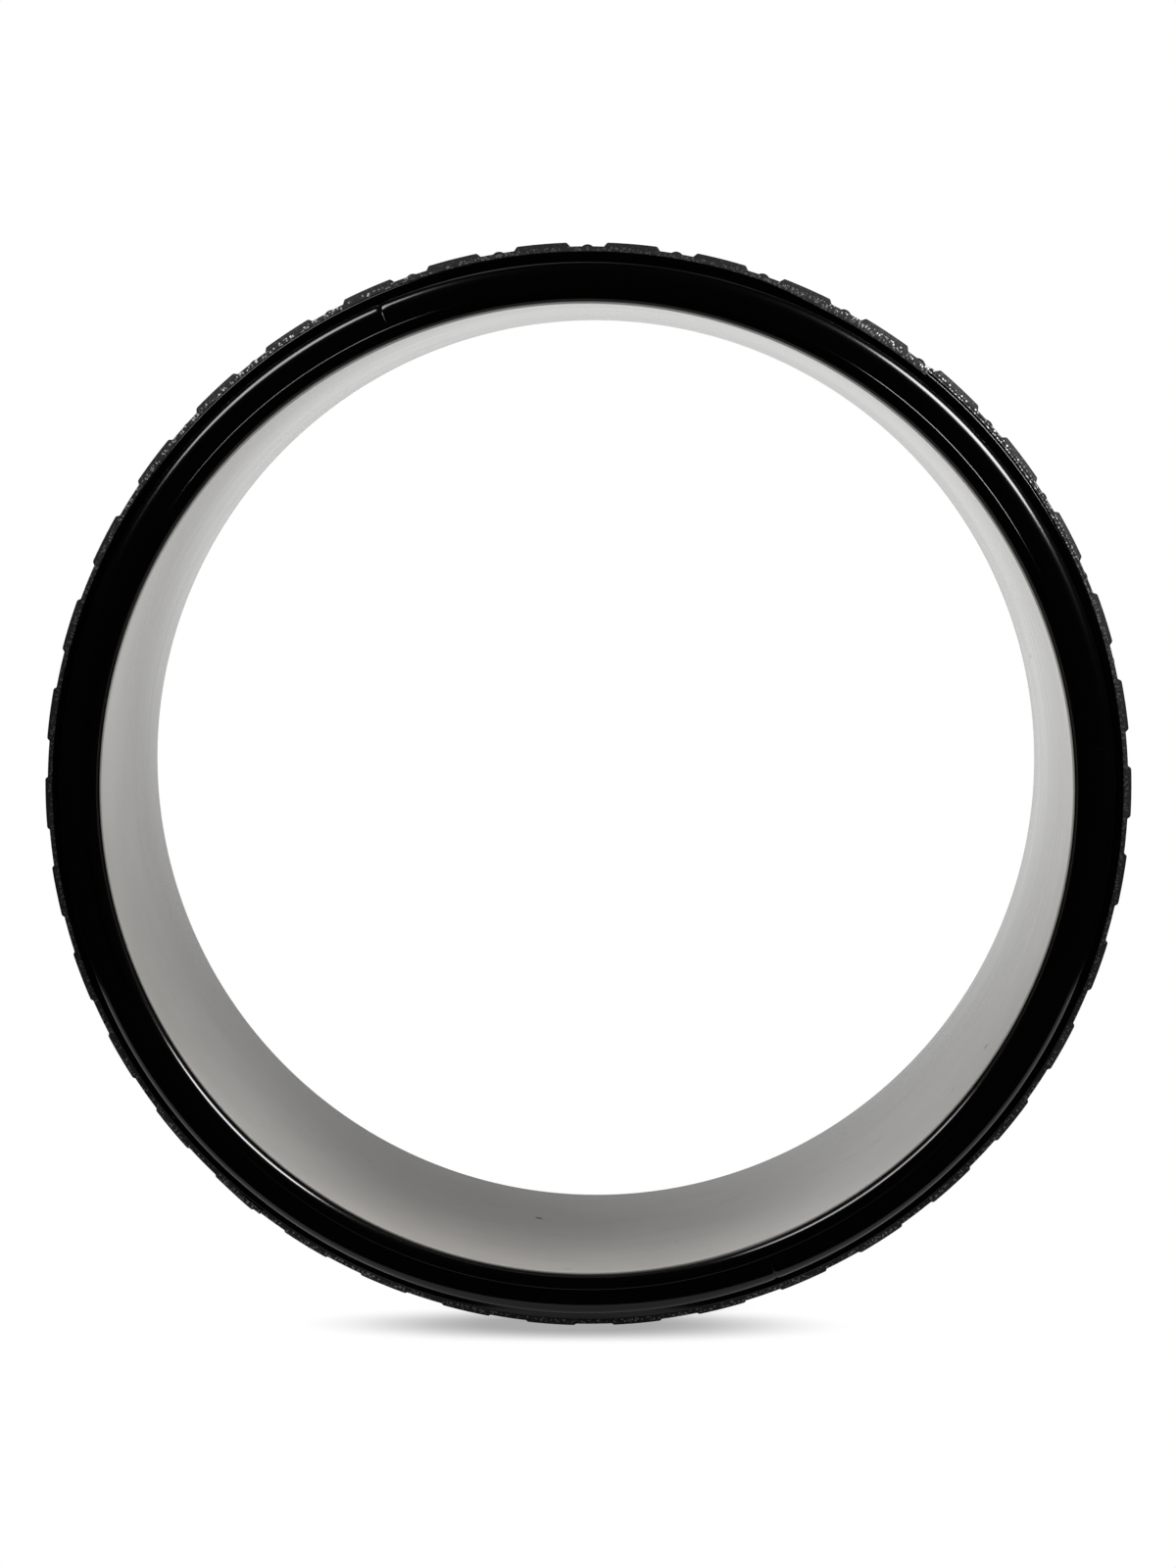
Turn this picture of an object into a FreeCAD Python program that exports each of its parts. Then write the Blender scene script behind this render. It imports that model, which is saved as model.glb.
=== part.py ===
import FreeCAD, Part
import math
import os
import Sketcher

# Yoga wheel. The wheel's axis is Y, its front face looks along -Y and +Z is up, with the origin at its centre.
# Angles run anticlockwise as seen from the front, from +X towards +Z. Lengths are millimetres.

# Driving dimensions: alias, value, meaning
DIMENSIONS = [
    ("bore_dia", "292.2", "inner drum, bore"),
    ("drum_wall", "2.8", "inner drum, wall"),
    ("mouth_bevel", "0.3", "inner drum, bevel at each mouth"),
    ("glue_gap", "0.15", "bond line between tubes and collars"),
    ("collar_wall", "5.4", "side ring, collar between drum and hoop"),
    ("collar_length", "10", "side ring, collar beyond the flange"),
    ("hoop_wall", "2.6", "outer hoop, wall"),
    ("web_thick", "5", "web, thickness along the axis"),
    ("web_spacing", "22", "web to web along the axis"),
    ("film_thick", "0.15", "bonding film under the tread"),
    ("film_gap", "0.05", "bonding film, room on either side"),
    ("overall_width", "140", "wheel across both trims"),
    ("lip_width", "4", "side ring, lip from its inner edge to its outer corner"),
    ("lip_length", "4.85", "side ring, lip beyond the drum's mouth"),
    ("lip_round", "2.4", "side ring, inner corner of the lip"),
    ("lip_drop", "0.15", "side ring, lip crown below the trim face"),
    ("lip_setback", "0.2", "side ring, lip behind the drum's mouth"),
    ("neck_step", "0.8", "side ring, neck behind the trim's rim"),
    ("slot_floor", "1.9", "side ring, wall left behind the trim's slot"),
    ("flange_thick", "4", "side ring, flange"),
    ("flange_round", "0.3", "side ring, front corner of the flange"),
    ("flange_drop", "1.65", "side ring, flange below the tread's skin"),
    ("trim_width", "8", "trim, across the bulb"),
    ("trim_depth", "8", "trim, face to seat"),
    ("trim_round", "3", "trim, outer shoulder"),
    ("trim_edge_round", "0.3", "trim, inner edge"),
    ("trim_gap", "0.2", "trim, crease beside the lip"),
    ("trim_hollow_dia", "4.6", "trim, hollow of the bulb"),
    ("trim_joint_upper", "112.85", "trim, angle of the upper butt joint"),
    ("trim_joint_lower", "291.4", "trim, angle of the lower butt joint"),
    ("trim_joint_gap", "0.16", "trim, opening at a butt joint"),
    ("spine_width", "2.4", "trim, spine pressed into the side ring"),
    ("spine_depth", "4", "trim, length of the spine"),
    ("spine_gap", "0.1", "trim, room around the spine"),
    ("splice_gap", "0.1", "splice pin, room in the hollow"),
    ("splice_length", "24", "splice pin, length"),
    ("tread_base", "6", "tread, thickness below the blocks"),
    ("tread_gap", "0.2", "tread, room beside each flange"),
    ("lap_gap", "0.1", "tread, room between its lap and the flange below"),
    ("lap_setback", "0.3", "tread, lap behind the flange's front"),
    ("tread_seam_gap", "0.3", "tread, opening at a seam"),
    ("first_nub_angle", "52.1", "tread, angle of the first nub of the upper strip"),
    ("seam_to_nub", "3.4", "tread, from the seam to the first nub"),
    ("blocks_per_strip", "19", "tread, blocks along half the wheel"),
    ("block_length", "15", "tread block, along the rim at its top"),
    ("block_width", "14", "tread block, along the axis at its top"),
    ("block_height", "1.55", "tread block, above the tread's skin"),
    ("block_slope", "1.2", "tread block, run of its sloping sides"),
    ("shoulder_width", "4.6", "tread, flat edge beside the outer rows of blocks"),
    ("channel_width", "4.5", "tread, least channel between two rows of blocks"),
    ("nub_dia", "4.4", "tread nub, across its foot"),
    ("nub_height", "1.25", "tread nub, above the tread's skin"),
]

# Sizes that follow from the driving dimensions, from the bore outwards and from the face inwards
DERIVED = [
    ("bore_r", "bore_dia / 2"),
    ("drum_r", "bore_r + drum_wall"),
    ("collar_in_r", "drum_r + glue_gap"),
    ("collar_r", "collar_in_r + collar_wall"),
    ("hoop_in_r", "collar_r + glue_gap"),
    ("hoop_r", "hoop_in_r + hoop_wall"),
    ("film_in_r", "hoop_r + film_gap"),
    ("film_r", "film_in_r + film_thick"),
    ("tread_in_r", "film_r + film_gap"),
    ("skin_r", "tread_in_r + tread_base"),
    ("block_r", "skin_r + block_height"),
    ("flange_r", "skin_r - flange_drop"),
    ("lip_r", "bore_r + lip_setback"),
    ("crown_r", "lip_r + lip_width"),
    ("trim_in_r", "crown_r + trim_gap"),
    ("trim_r", "trim_in_r + trim_width"),
    ("trim_mid_r", "trim_in_r + trim_width / 2"),
    ("neck_r", "trim_r - neck_step"),
    ("face_y", "overall_width / 2"),
    ("crown_y", "face_y - lip_drop"),
    ("drum_end_y", "crown_y - lip_length"),
    ("seat_y", "face_y - trim_depth"),
    ("slot_y", "seat_y - spine_depth - spine_gap"),
    ("hoop_end_y", "slot_y - slot_floor"),
    ("flange_y", "hoop_end_y + flange_thick"),
    ("collar_end_y", "hoop_end_y - collar_length"),
    ("tread_end_y", "hoop_end_y - tread_gap"),
    ("lap_in_r", "flange_r + lap_gap"),
    ("lap_y", "flange_y - lap_setback"),
    ("half_turn", "180"),
    ("degrees_per_radian", "half_turn / pi"),
    ("block_pitch_angle", "half_turn / blocks_per_strip"),
    ("block_pitch", "block_r * block_pitch_angle / degrees_per_radian"),
    ("gap_half", "(block_pitch - block_length) / 2"),
    ("gap_foot_half", "gap_half - block_slope"),
    ("gap_foot_x", "sqrt(skin_r * skin_r - gap_foot_half * gap_foot_half)"),
    ("block_foot", "block_width + 2 * block_slope"),
    ("rows_room", "2 * (lap_y - shoulder_width)"),
    ("row_count", "floor((rows_room + channel_width) / (block_foot + channel_width))"),
    ("row_pitch", "(rows_room - block_foot) / max(row_count - 1; 1)"),
    ("first_row_y", "(block_foot - rows_room) / 2"),
    ("nub_round", "(nub_dia * nub_dia / 4 + nub_height * nub_height) / (2 * nub_height)"),
    ("nub_centre_r", "skin_r + nub_height - nub_round"),
    ("seam_lead_angle", "seam_to_nub / skin_r * degrees_per_radian"),
    ("seam_gap_angle", "tread_seam_gap / skin_r * degrees_per_radian"),
    ("joint_gap_angle", "trim_joint_gap / trim_mid_r * degrees_per_radian"),
    ("splice_angle", "splice_length / trim_mid_r * degrees_per_radian"),
]

FRONT = -1
REAR = 1

doc = FreeCAD.newDocument("YogaWheel")
sheet = doc.addObject("Spreadsheet::Sheet", "Dims")
for row, (alias, value, meaning) in enumerate(DIMENSIONS, start=1):
    sheet.set(f"A{row}", meaning)
    sheet.set(f"B{row}", value)
    sheet.setAlias(f"B{row}", alias)
for row, (alias, formula) in enumerate(DERIVED, start=len(DIMENSIONS) + 2):
    sheet.set(f"A{row}", alias.replace("_", " "))
    sheet.set(f"B{row}", f"={formula}")
    sheet.setAlias(f"B{row}", alias)
doc.recompute()

ALIASES = {entry[0] for entry in DIMENSIONS + DERIVED}
ROWS = range(int(sheet.row_count))


def dims(formula):
    """Write a formula's words as cells of the sheet, such as bore_r as Dims.bore_r."""
    words = []
    for word in formula.replace("(", "( ").replace(")", " )").split():
        words.append(f"Dims.{word}" if word in ALIASES else word)
    return " ".join(words)


def new_body(label):
    body = doc.addObject("PartDesign::Body", label)
    body.Label = label
    return body


def new_sketch(body, name, role):
    """An empty sketch on one of the body's own origin planes."""
    sketch = body.newObject("Sketcher::SketchObject", f"{body.Label}_{name}")
    plane = next(item for item in body.Origin.OriginFeatures if item.Role == role)
    sketch.AttachmentSupport = (plane, [""])
    sketch.MapMode = "FlatFace"
    return sketch


def bind(sketch, constraint, name, formula):
    index = sketch.addConstraint(constraint)
    sketch.renameConstraint(index, name)
    sketch.setExpression(f"Constraints.{name}", formula)


def place_point(sketch, geometry, end, number, x, y):
    """Tie one end of an edge to its place. A point with y of zero lies on the horizontal axis."""
    x_value = sketch.evalExpression(x)
    bind(sketch, Sketcher.Constraint("DistanceX", -1, 1, geometry, end, x_value), f"x{number}", x)
    if y == "0":
        sketch.addConstraint(Sketcher.Constraint("PointOnObject", geometry, end, -1))
        return
    y_value = sketch.evalExpression(y)
    bind(sketch, Sketcher.Constraint("DistanceY", -1, 1, geometry, end, y_value), f"y{number}", y)


def arc_between(start, finish, radius):
    """The arc from start to finish. It bows to the right of the way there, or to the left if radius is negative."""
    chord = finish - start
    middle = (start + finish) * 0.5
    rise = math.sqrt(max(radius * radius - chord.Length * chord.Length / 4, 0))
    left = FreeCAD.Vector(-chord.y, chord.x, 0).normalize()
    centre = middle + left * math.copysign(rise, radius)
    circle = Part.Circle(centre, FreeCAD.Vector(0, 0, 1), abs(radius))
    first, last = (start, finish) if radius > 0 else (finish, start)
    return Part.ArcOfCircle(circle, circle.parameter(first), circle.parameter(last))


def draw_outline(sketch, corners):
    """A closed outline through corners (x, y) or (x, y, bow, radius), all given as formulas.

    A corner with a radius starts an arc to the next corner; bow is 1 where it bows to the right and -1 to the left.
    """
    corners = [tuple(dims(str(item)) for item in corner) for corner in corners]
    points = [
        FreeCAD.Vector(float(sketch.evalExpression(c[0])), float(sketch.evalExpression(c[1])), 0) for c in corners
    ]
    ends = []
    for number, corner in enumerate(corners):
        start = points[number]
        finish = points[(number + 1) % len(points)]
        if len(corner) == 2:
            edge = sketch.addGeometry(Part.LineSegment(start, finish), False)
            ends.append((edge, 1, 2))
            continue
        bow = int(corner[2])
        radius = float(sketch.evalExpression(corner[3]))
        edge = sketch.addGeometry(arc_between(start, finish, bow * radius), False)
        ends.append((edge, 1, 2) if bow > 0 else (edge, 2, 1))
        bind(sketch, Sketcher.Constraint("Radius", edge, radius), f"r{number}", corner[3])
    for number, (edge, first, last) in enumerate(ends):
        following, following_first, _ = ends[(number + 1) % len(ends)]
        sketch.addConstraint(Sketcher.Constraint("Coincident", edge, last, following, following_first))
        place_point(sketch, edge, first, number, corners[number][0], corners[number][1])


def draw_circle(sketch, x, y, diameter):
    x, y, diameter = dims(x), dims(y), dims(diameter)
    centre = FreeCAD.Vector(float(sketch.evalExpression(x)), float(sketch.evalExpression(y)), 0)
    size = float(sketch.evalExpression(diameter))
    edge = sketch.addGeometry(Part.Circle(centre, FreeCAD.Vector(0, 0, 1), size / 2), False)
    bind(sketch, Sketcher.Constraint("Diameter", edge, size), "bulb", diameter)
    place_point(sketch, edge, 3, "bulb", x, y)


def turn_about_axle(body, start):
    """Turn a body about the wheel's axis, anticlockwise from the front."""
    body.Placement = FreeCAD.Placement(FreeCAD.Vector(), FreeCAD.Rotation(FreeCAD.Vector(0, -1, 0), 1))
    body.setExpression("Placement.Rotation.Angle", dims(start))


def spin(body, name, sketch, span):
    """Turn a section in the XY plane about the wheel's axis, anticlockwise from the front."""
    ring = body.newObject("PartDesign::Revolution", f"{body.Label}_{name}")
    ring.Profile = sketch
    ring.ReferenceAxis = (sketch, ["V_Axis"])
    ring.Reversed = True
    ring.setExpression("Angle", dims(span))
    sketch.Visibility = False
    return ring


def ring_part(label, outline, start=None, span="2 * half_turn", hollow=None):
    """A ring, or an arc of one, with the given section: x is the radius and y lies along the axis."""
    body = new_body(label)
    section = new_sketch(body, "section", "XY_Plane")
    if outline:
        draw_outline(section, outline)
    if hollow:
        draw_circle(section, *hollow)
    spin(body, "ring", section, span)
    if start:
        turn_about_axle(body, start)
    return body


def inner_drum():
    """Straight tube with a fine bevel at each mouth."""
    ends = []
    for side in (FRONT, REAR):
        ends.append([
            ("drum_r", f"{side} * drum_end_y"),
            ("bore_r + mouth_bevel", f"{side} * drum_end_y"),
            ("bore_r", f"{side} * ( drum_end_y - mouth_bevel )"),
        ])
    return ring_part("inner_drum", ends[0] + ends[1][::-1])


def tube(label, inner, outer, low, high, **arc):
    return ring_part(label, [(inner, low), (outer, low), (outer, high), (inner, high)], **arc)


def side_ring(label, side):
    """Rounded lip, trim seat with its slot, neck, flange, and the collar between drum and hoop."""
    slot_in = "trim_mid_r - spine_width / 2 - spine_gap"
    slot_out = "trim_mid_r + spine_width / 2 + spine_gap"
    return ring_part(label, [
        ("lip_r", f"{side} * drum_end_y"),
        ("lip_r", f"{side} * ( crown_y - lip_round )", -side, "lip_round"),
        ("lip_r + lip_round", f"{side} * crown_y"),
        ("crown_r", f"{side} * crown_y"),
        ("crown_r", f"{side} * seat_y"),
        (slot_in, f"{side} * seat_y"),
        (slot_in, f"{side} * slot_y"),
        (slot_out, f"{side} * slot_y"),
        (slot_out, f"{side} * seat_y"),
        ("neck_r", f"{side} * seat_y"),
        ("neck_r", f"{side} * flange_y"),
        ("flange_r - flange_round", f"{side} * flange_y", -side, "flange_round"),
        ("flange_r", f"{side} * ( flange_y - flange_round )"),
        ("flange_r", f"{side} * hoop_end_y"),
        ("collar_r", f"{side} * hoop_end_y"),
        ("collar_r", f"{side} * collar_end_y"),
        ("collar_in_r", f"{side} * collar_end_y"),
        ("collar_in_r", f"{side} * drum_end_y"),
    ])


def trim_half(label, side, start, finish):
    """Hollow bulb with a spine, from one butt joint to the next."""
    spine_in = "trim_mid_r - spine_width / 2"
    spine_out = "trim_mid_r + spine_width / 2"
    spine_y = f"{side} * ( seat_y - spine_depth )"
    outline = [
        ("trim_in_r", f"{side} * seat_y"),
        ("trim_in_r", f"{side} * ( face_y - trim_edge_round )", -side, "trim_edge_round"),
        ("trim_in_r + trim_edge_round", f"{side} * face_y"),
        ("trim_r - trim_round", f"{side} * face_y", -side, "trim_round"),
        ("trim_r", f"{side} * ( face_y - trim_round )"),
        ("trim_r", f"{side} * seat_y"),
        (spine_out, f"{side} * seat_y"),
        (spine_out, spine_y),
        (spine_in, spine_y),
        (spine_in, f"{side} * seat_y"),
    ]
    return ring_part(
        label,
        outline,
        start=f"{start} + joint_gap_angle / 2",
        span=f"{finish} - {start} - joint_gap_angle",
        hollow=("trim_mid_r", f"{side} * ( face_y - trim_depth / 2 )", "trim_hollow_dia"),
    )


def splice(label, side, joint):
    """Pin bent to the rim's curve, half in each trim end."""
    return ring_part(
        label,
        None,
        start=f"{joint} - splice_angle / 2",
        span="splice_angle",
        hollow=("trim_mid_r", f"{side} * ( face_y - trim_depth / 2 )", "trim_hollow_dia - 2 * splice_gap"),
    )


def tread_section():
    """Underside between the flanges, a lap over each flange, and a ridge with sloping sides for each row of blocks."""
    outline = [
        ("tread_in_r", "tread_end_y"),
        ("tread_in_r", "-1 * tread_end_y"),
        ("lap_in_r", "-1 * tread_end_y"),
        ("lap_in_r", "-1 * lap_y"),
        ("skin_r", "-1 * lap_y"),
    ]
    for row in ROWS:
        centre = f"first_row_y + {row} * row_pitch"
        outline.append(("skin_r", f"{centre} - block_width / 2 - block_slope"))
        outline.append(("block_r", f"{centre} - block_width / 2"))
        outline.append(("block_r", f"{centre} + block_width / 2"))
        outline.append(("skin_r", f"{centre} + block_width / 2 + block_slope"))
    outline += [("skin_r", "lap_y"), ("lap_in_r", "lap_y"), ("lap_in_r", "tread_end_y")]
    return outline


def tread_strip(label, start):
    """Half of the tread. Its own angle 0 is at the first nub, a little past the seam."""
    body = new_body(label)
    section = new_sketch(body, "section", "XY_Plane")
    draw_outline(section, tread_section())
    ridges = spin(body, "ridges", section, "half_turn - seam_lead_angle - seam_gap_angle / 2")
    ridges.Type = "TwoAngles"
    ridges.setExpression("Angle2", dims("seam_lead_angle - seam_gap_angle / 2"))
    axle = next(item for item in body.Origin.OriginFeatures if item.Role == "Y_Axis")

    gap = new_sketch(body, "gap", "XZ_Plane")
    draw_outline(gap, [
        ("gap_foot_x", "-1 * gap_foot_half", 1, "skin_r"),
        ("gap_foot_x", "gap_foot_half"),
        ("gap_foot_x + 2 * block_height", "gap_foot_half + 2 * block_slope"),
        ("gap_foot_x + 2 * block_height", "-1 * gap_foot_half - 2 * block_slope"),
    ])
    cut = body.newObject("PartDesign::Pocket", f"{label}_gap_cut")
    cut.Profile = gap
    cut.Midplane = True
    cut.setExpression("Length", dims("2 * lap_y"))
    doc.recompute()
    gaps = body.newObject("PartDesign::PolarPattern", f"{label}_gaps")
    gaps.Originals = [cut]
    gaps.Axis = (axle, [""])
    gaps.Reversed = True
    gaps.Mode = "Spacing"
    gaps.setExpression("Offset", dims("block_pitch_angle"))
    gaps.setExpression("Occurrences", dims("blocks_per_strip + 1"))
    body.Tip = gaps
    doc.recompute()
    if gaps.Shape.Volume >= ridges.Shape.Volume:
        raise RuntimeError(f"{label}: the gaps between the blocks cut nothing")

    nubs = []
    for row in ROWS:
        dome = new_sketch(body, f"dome{row}", "XZ_Plane")
        dome.setExpression("AttachmentOffset.Base.z", dims(f"-1 * first_row_y - {row} * row_pitch"))
        draw_outline(dome, [
            ("nub_centre_r", "0"),
            ("nub_centre_r", "-1 * nub_round", 1, "nub_round"),
            ("skin_r + nub_height", "0"),
        ])
        nub = body.newObject("PartDesign::Revolution", f"{label}_nub{row}")
        nub.Profile = dome
        nub.ReferenceAxis = (dome, ["H_Axis"])
        nub.Angle = 360
        nubs.append(nub)
    doc.recompute()
    ring_of_nubs = body.newObject("PartDesign::PolarPattern", f"{label}_nubs")
    ring_of_nubs.Originals = nubs
    ring_of_nubs.Axis = (axle, [""])
    ring_of_nubs.Reversed = True
    ring_of_nubs.Mode = "Spacing"
    ring_of_nubs.setExpression("Offset", dims("block_pitch_angle"))
    ring_of_nubs.setExpression("Occurrences", dims("blocks_per_strip"))
    body.Tip = ring_of_nubs
    turn_about_axle(body, start)
    return body


def turned_copy(label, original, start):
    """The same piece again, at another angle about the wheel's axis."""
    body = new_body(label)
    copy = doc.addObject("PartDesign::FeatureBase", f"{label}_copy")
    body.Group = [copy]
    copy.BaseFeature = original
    body.Tip = copy
    turn_about_axle(body, start)
    return body


parts = [inner_drum()]
parts.append(tube("outer_hoop", "hoop_in_r", "hoop_r", "-1 * hoop_end_y", "hoop_end_y"))
for label, place in (("front_web", -1), ("middle_web", 0), ("rear_web", 1)):
    low = f"{place} * web_spacing - web_thick / 2"
    high = f"{place} * web_spacing + web_thick / 2"
    parts.append(tube(label, "collar_in_r", "collar_r", low, high))
for end, side in (("front", FRONT), ("rear", REAR)):
    parts.append(side_ring(f"{end}_side_ring", side))
    parts.append(trim_half(f"{end}_trim_left", side, "trim_joint_upper", "trim_joint_lower"))
    parts.append(trim_half(f"{end}_trim_right", side, "trim_joint_lower", "( trim_joint_upper + 2 * half_turn )"))
    parts.append(splice(f"{end}_splice_upper", side, "trim_joint_upper"))
    parts.append(splice(f"{end}_splice_lower", side, "trim_joint_lower"))
upper_tread = tread_strip("tread_upper", "first_nub_angle")
parts.append(upper_tread)
parts.append(turned_copy("tread_lower", upper_tread, "first_nub_angle + half_turn"))
for end, turned in (("upper", "0"), ("lower", "half_turn")):
    parts.append(tube(
        f"tread_film_{end}",
        "film_in_r",
        "film_r",
        "-1 * tread_end_y",
        "tread_end_y",
        start=f"first_nub_angle + {turned} - seam_lead_angle + seam_gap_angle / 2",
        span="half_turn - seam_gap_angle",
    ))
doc.recompute()

for item in doc.Objects:
    if "Invalid" in item.State or "Error" in item.State:
        raise RuntimeError(f"{item.Label} failed: {item.State}")
for body in parts:
    if body.Shape.isNull() or not body.Shape.isValid():
        raise RuntimeError(f"{body.Label} has no valid shape")

os.makedirs("parts", exist_ok=True)
for body in parts:
    body.Shape.exportStep(f"parts/{body.Label}.step")
    box = body.Shape.BoundBox
    print(
        f"{body.Label}: {len(body.Shape.Solids)} solid, {body.Shape.Volume:.0f} mm3,"
        f" x {box.XMin:.2f} {box.XMax:.2f}, y {box.YMin:.2f} {box.YMax:.2f}, z {box.ZMin:.2f} {box.ZMax:.2f}"
    )
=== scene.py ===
import math

import bmesh
import bpy
import numpy as np
from bpy.props import FloatProperty, FloatVectorProperty, IntProperty, PointerProperty
from mathutils import Matrix, Vector


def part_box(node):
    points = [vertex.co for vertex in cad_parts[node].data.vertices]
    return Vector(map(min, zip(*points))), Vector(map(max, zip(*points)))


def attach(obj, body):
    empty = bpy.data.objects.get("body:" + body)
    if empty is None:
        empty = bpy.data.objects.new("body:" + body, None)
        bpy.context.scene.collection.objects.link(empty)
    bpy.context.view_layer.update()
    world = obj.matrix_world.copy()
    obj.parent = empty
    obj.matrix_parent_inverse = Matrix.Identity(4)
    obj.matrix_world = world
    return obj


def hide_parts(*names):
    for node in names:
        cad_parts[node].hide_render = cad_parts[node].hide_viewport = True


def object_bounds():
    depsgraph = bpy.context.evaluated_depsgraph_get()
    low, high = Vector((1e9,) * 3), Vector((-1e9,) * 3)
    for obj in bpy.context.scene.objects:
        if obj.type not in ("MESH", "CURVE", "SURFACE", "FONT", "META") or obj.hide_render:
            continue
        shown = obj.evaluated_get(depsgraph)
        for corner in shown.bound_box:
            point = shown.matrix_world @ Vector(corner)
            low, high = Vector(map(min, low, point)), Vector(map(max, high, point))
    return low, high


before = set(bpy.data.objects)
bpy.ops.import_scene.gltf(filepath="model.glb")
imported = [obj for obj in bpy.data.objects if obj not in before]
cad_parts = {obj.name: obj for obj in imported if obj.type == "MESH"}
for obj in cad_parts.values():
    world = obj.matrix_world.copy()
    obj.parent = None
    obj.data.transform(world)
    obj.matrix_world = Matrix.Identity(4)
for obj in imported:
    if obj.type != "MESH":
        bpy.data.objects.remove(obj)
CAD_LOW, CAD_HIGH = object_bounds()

bl_info = {
    "name": "Yoga Wheel",
    "version": (1, 0, 0),
    "blender": (4, 5, 0),
    "location": "3D View > Sidebar > Yoga Wheel",
    "description": "Dresses the parts of a yoga wheel and sets them on a white table",
    "category": "Object",
}

BODY = "root"
MM = 0.001
IMAGE_HEIGHT = 1600
FRONT, REAR = -1, 1
SIDES = {"front": FRONT, "rear": REAR}

# How far the lip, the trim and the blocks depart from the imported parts
LIP_OPENING = 0.3 * MM
TRIM_DROP = 0.08 * MM
BLOCK_DROP = 0.07 * MM


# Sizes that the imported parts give

def axle_distances(node):
    """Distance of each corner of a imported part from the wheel's axis."""
    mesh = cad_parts[node].data
    points = np.empty(len(mesh.vertices) * 3, np.float32)
    mesh.vertices.foreach_get("co", points)
    return np.hypot(points[0::3], points[2::3])


def inner_radius(node):
    return float(axle_distances(node).min())


def outer_radius(node):
    return float(axle_distances(node).max())


def half_width(node):
    """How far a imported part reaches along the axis."""
    low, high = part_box(node)
    return max(abs(low.y), abs(high.y))


# Kinds of property

def length(name, description, default):
    return FloatProperty(name=name, description=description, default=default, precision=5, unit="LENGTH")


def angle(name, description, degrees):
    return FloatProperty(
        name=name, description=description, default=math.radians(degrees), subtype="ANGLE", unit="ROTATION"
    )


def share(name, description, default):
    return FloatProperty(
        name=name, description=description, default=default, min=0, max=1, subtype="FACTOR"
    )


def number(name, description, default):
    return FloatProperty(name=name, description=description, default=default)


def count(name, description, default):
    return IntProperty(name=name, description=description, default=default, min=1)


def colour(name, description, default):
    return FloatVectorProperty(
        name=name, description=description, default=default, size=3, min=0, max=1, subtype="COLOR"
    )


class DrumSizes(bpy.types.PropertyGroup):
    """Sizes of the grey inner drum."""

    bore_radius: length("Bore", "Radius of the bore", inner_radius("inner_drum"))
    outer_radius: length("Outside", "Outer radius", outer_radius("inner_drum"))
    half_length: length("Half length", "From the middle to a mouth", half_width("inner_drum"))
    bevel: length("Bevel", "Width of the bevel at each mouth", 0.14 * MM)
    bevel_run: length("Bevel run", "Length of that bevel along the axis", 0.1 * MM)


class RingSizes(bpy.types.PropertyGroup):
    """Sizes of the black side rings and their trims."""

    lip_radius: length("Lip", "Inner radius of the lip", inner_radius("front_side_ring") + LIP_OPENING)
    lip_rise: length("Lip rise", "Height of the rounded part of the lip", 2.19 * MM)
    lip_lean: angle("Lip lean", "How far that part opens to the front where it starts", 22)
    lip_round: length("Lip rounding", "Inner corner of the lip", 3.48 * MM)
    crown_round: length("Crown rounding", "Outer corner of the lip", 0.45 * MM)
    crown_width: length("Crown width", "Width of the lip", 4.1 * MM)
    crown_y: length("Crown", "From the middle to the lip's crown", half_width("front_trim_left"))
    drum_end_y: length("Drum end", "From the middle to the drum's mouth", half_width("inner_drum"))
    seat_y: length("Seat", "From the middle to the trim's seat", 62 * MM)
    slot_y: length("Slot", "From the middle to the slot's floor", 57.9 * MM)
    slot_width: length("Slot width", "Width of the slot for the trim's spine", 2.6 * MM)
    neck_step: length("Neck step", "Neck behind the trim's rim", 0.8 * MM)
    flange_radius: length("Flange", "Outer radius of the flange", outer_radius("front_side_ring"))
    flange_front_y: length("Flange front", "From the middle to the flange's front", 60 * MM)
    flange_rear_y: length("Flange rear", "From the middle to the flange's rear", 56 * MM)
    flange_round: length("Flange rounding", "Front corner of the flange", 0.45 * MM)
    collar_radius: length("Collar", "Outer radius of the collar", 154.45 * MM)
    collar_end_y: length("Collar end", "From the middle to the collar's end", 46 * MM)
    glue_gap: length("Bond line", "Room between drum and collar", 0.15 * MM)
    edge_round: length("Edge rounding", "Rounding of the moulded edges", 0.22 * MM)
    trim_inner_radius: length("Trim inside", "Inner radius", inner_radius("front_trim_left") + LIP_OPENING)
    trim_radius: length("Trim outside", "Outer radius", outer_radius("front_trim_left"))
    face_y: length("Trim face", "From the middle to its face", half_width("front_side_ring") - TRIM_DROP)
    trim_round: length("Trim shoulder", "Outer rounding of the trim", 4.0 * MM)
    trim_edge_round: length("Trim inner edge", "Inner rounding of the trim", 0.06 * MM)
    spine_width: length("Spine width", "Width of the trim's spine", 2.4 * MM)
    spine_end_y: length("Spine end", "From the middle to the spine's end", 58 * MM)
    upper_joint: angle("Upper joint", "Angle of the trim's upper butt joint", 112.85)
    lower_joint: angle("Lower joint", "Angle of the trim's lower butt joint", 291.4)
    joint_gap: length("Joint gap", "Opening at a butt joint", 0.16 * MM)
    pinch_depth: length("Pinch depth", "How far a trim end draws in", 0.36 * MM)
    pinch_length: length("Pinch length", "Stretch over which a trim end draws in", 1.8 * MM)


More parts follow.
